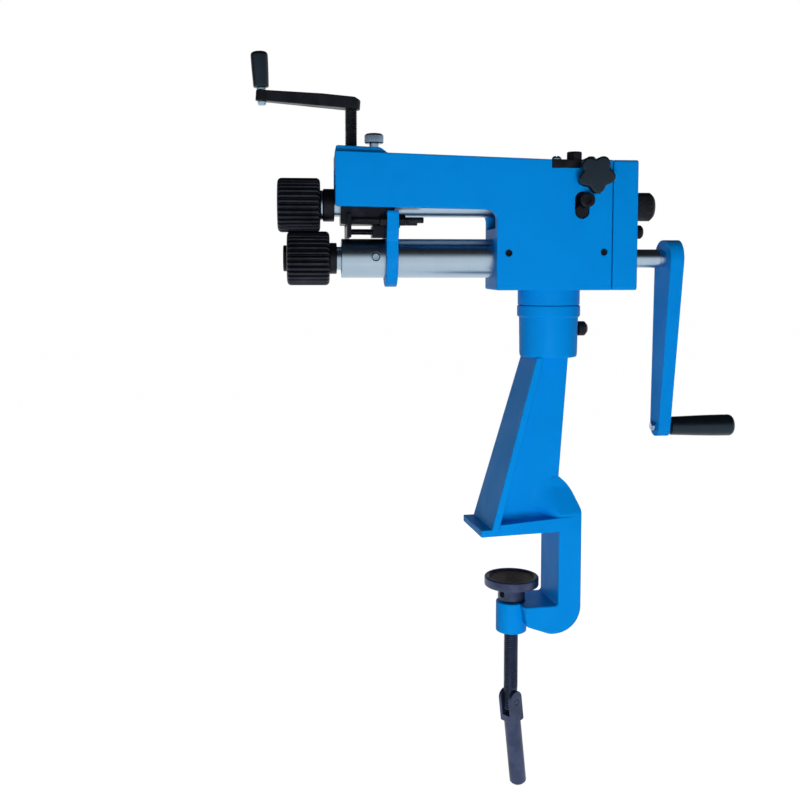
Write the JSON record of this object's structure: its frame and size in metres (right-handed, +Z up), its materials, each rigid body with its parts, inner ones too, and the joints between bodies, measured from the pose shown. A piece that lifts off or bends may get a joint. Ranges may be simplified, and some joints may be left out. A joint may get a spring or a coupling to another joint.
{
  "type": "bead roller",
  "caption": "Hand cranked bead roller with two geared crimping rolls, a pressure screw crank, a sliding fence and a swivelling bench clamp pedestal.",
  "frame": {"origin": "centre of the upper clamp jaw's underside, over the clamp screw axis: it rests on the bench top", "axes": "+X along the roll shafts towards the main crank, +Y away from the side with the star knob, +Z up"},
  "size_m": [0.4814, 0.086, 0.7192],
  "materials": {
    "blue_paint": "gloss enamel on a casting",
    "dark_blue_paint": "gloss enamel, darker shade",
    "black_oxide": "black oxide",
    "blued_steel": "blued and oiled",
    "ground_steel": "ground bright",
    "zinc_plate": "bright zinc plate",
    "bronze": "sintered bronze",
    "black_plastic": "moulded satin"
  },
  "bodies": {
    "frame": {"pedestal": "blue_paint"},
    "lock_bolt": {"lock_bolt": "black_oxide"},
    "clamp_pad": {"clamp_pad": "blued_steel", "pad_set_screw": "ground_steel"},
    "clamp_screw": {"clamp_screw": "blued_steel"},
    "clamp_handle": {"clamp_handle": "blued_steel", "handle_pin": "blued_steel"},
    "head": {"head_casting": "blue_paint", "rear_cover": "blue_paint", "cover_bolt_near": "black_oxide", "cover_bolt_far": "black_oxide", "bridge_plate": "black_oxide", "rear_adjust_bolt": "black_oxide", "tube_lock_screw": "black_oxide", "bush_lock_screw": "black_oxide", "lift_spring": "ground_steel", "lower_tube": "ground_steel", "lower_front_bush": "bronze", "lower_rear_bush": "bronze", "tube_set_screw": "zinc_plate"},
    "star_knob": {"star_knob": "black_plastic"},
    "lower_spindle": {"lower_shaft": "ground_steel", "lower_roll": "black_oxide", "lower_roll_nut": "black_oxide", "lower_collar": "black_oxide", "lower_gear": "ground_steel", "crank_arm": "dark_blue_paint", "crank_grip_bolt": "zinc_plate", "crank_end_screw": "black_oxide"},
    "crank_grip": {"crank_grip": "black_plastic"},
    "upper_carrier": {"front_bearing_block": "black_oxide", "upper_front_bush": "bronze", "rear_bearing_block": "black_oxide", "keeper_screw": "black_oxide"},
    "thumb_screw": {"thumb_screw": "zinc_plate"},
    "axial_plug": {"axial_plug": "ground_steel"},
    "upper_spindle": {"upper_shaft": "ground_steel", "upper_roll": "black_oxide", "upper_roll_nut": "black_oxide", "upper_spacer": "ground_steel", "upper_collar": "black_oxide"},
    "upper_gear": {"upper_gear": "ground_steel"},
    "axial_knob": {"axial_knob": "black_oxide"},
    "pressure_foot": {"pressure_foot": "ground_steel"},
    "pressure_screw": {"pressure_screw": "black_oxide", "pressure_crank": "black_oxide", "pressure_grip_bolt": "zinc_plate"},
    "pressure_grip": {"pressure_grip": "black_plastic"},
    "fence_bracket": {"fence_bracket": "blue_paint", "bracket_set_screw": "black_oxide", "rod_nut_near_front": "black_oxide", "rod_nut_near_back": "black_oxide", "rod_nut_far_front": "black_oxide", "rod_nut_far_back": "black_oxide", "fence_guide_pin": "black_oxide"},
    "fence": {"fence_plate": "black_oxide", "fence_rod_near": "black_oxide", "fence_rod_far": "black_oxide"}
  },
  "joints": [
    {"name": "lock_bolt_turn", "type": "hinge", "parent": "frame", "child": "lock_bolt", "pos_m": [0.06001, 0.00684, 0.194], "axis": [0.9936, 0.1132, 0], "range_deg": [0, 180]},
    {"name": "clamp_travel", "type": "slide", "parent": "frame", "child": "clamp_pad", "axis": [0, 0, 1], "range_m": [-0.0015, 0.0455]},
    {"name": "clamp_screw_turn", "type": "hinge", "parent": "clamp_pad", "child": "clamp_screw", "pos_m": [0, 0, -0.12], "axis": [0, 0, 1], "range_deg": [-270.1, 8190.1]},
    {"name": "clamp_handle_fold", "type": "hinge", "parent": "clamp_screw", "child": "clamp_handle", "pos_m": [0, 0, -0.174], "axis": [-0.5948, 0.8039, 0], "range_deg": [-82, 98]},
    {"name": "head_swivel", "type": "hinge", "parent": "frame", "child": "head", "pos_m": [0.03517, 0.00401, 0.21], "axis": [0, 0, 1], "continuous": true},
    {"name": "star_knob_turn", "type": "hinge", "parent": "head", "child": "star_knob", "pos_m": [0.06777, -0.02699, 0.339], "axis": [0, -1, 0], "range_deg": [0, 180]},
    {"name": "crank_spin", "type": "hinge", "parent": "head", "child": "lower_spindle", "pos_m": [0.03977, 0.00401, 0.262], "axis": [1, 0, 0], "continuous": true},
    {"name": "crank_grip_spin", "type": "hinge", "parent": "lower_spindle", "child": "crank_grip", "pos_m": [0.16377, 0.02528, 0.09364], "axis": [1, 0, 0], "continuous": true},
    {"name": "press_travel", "type": "slide", "parent": "head", "child": "pressure_foot", "axis": [0, 0, 1], "range_m": [0, 0.005]},
    {"name": "pressure_screw_turn", "type": "hinge", "parent": "pressure_foot", "child": "pressure_screw", "pos_m": [-0.15583, 0.00401, 0.362], "axis": [0, 0, 1], "range_deg": [0, 1200.1]},
    {"name": "pressure_grip_spin", "type": "hinge", "parent": "pressure_screw", "child": "pressure_grip", "pos_m": [-0.2391, 0.00401, 0.41312], "axis": [-0.0523, 0, 0.9986], "continuous": true},
    {"name": "upper_tilt", "type": "hinge", "parent": "head", "child": "upper_carrier", "pos_m": [0.05897, 0.00401, 0.3058], "axis": [0, 1, 0], "range_deg": [0, 1.34], "deforming": ["lift_spring"]},
    {"name": "thumb_screw_turn", "type": "hinge", "parent": "upper_carrier", "child": "thumb_screw", "pos_m": [-0.13423, 0.00401, 0.366], "axis": [0, 0, 1], "range_deg": [-180, 180]},
    {"name": "axial_shift", "type": "slide", "parent": "upper_carrier", "child": "axial_plug", "axis": [1, 0, 0], "range_m": [-0.004, 0.005]},
    {"name": "upper_spin", "type": "hinge", "parent": "axial_plug", "child": "upper_spindle", "pos_m": [0.03977, 0.00401, 0.312], "axis": [1, 0, 0], "continuous": true},
    {"name": "upper_gear_spin", "type": "hinge", "parent": "upper_carrier", "child": "upper_gear", "pos_m": [0.09527, 0.00401, 0.312], "axis": [1, 0, 0], "continuous": true},
    {"name": "axial_knob_turn", "type": "hinge", "parent": "head", "child": "axial_knob", "pos_m": [0.11677, 0.00401, 0.312], "axis": [1, 0, 0], "range_deg": [-1200.1, 960.1]},
    {"name": "bracket_slide", "type": "slide", "parent": "head", "child": "fence_bracket", "axis": [1, 0, 0], "range_m": [-0.011, 0.045]},
    {"name": "fence_slide", "type": "slide", "parent": "fence_bracket", "child": "fence", "axis": [1, 0, 0], "range_m": [-0.002, 0.02]}
  ],
  "couplings": [
    {"joint": "clamp_screw_turn", "follows": "clamp_travel", "rad_per_m": 3141.6},
    {"joint": "pressure_screw_turn", "follows": "press_travel", "rad_per_m": 4188.8},
    {"joint": "upper_tilt", "follows": "press_travel", "rad_per_m": 4.6555},
    {"joint": "upper_spin", "follows": "crank_spin", "ratio": -1},
    {"joint": "upper_gear_spin", "follows": "crank_spin", "ratio": -1},
    {"joint": "axial_knob_turn", "follows": "axial_shift", "rad_per_m": -4188.8}
  ]
}
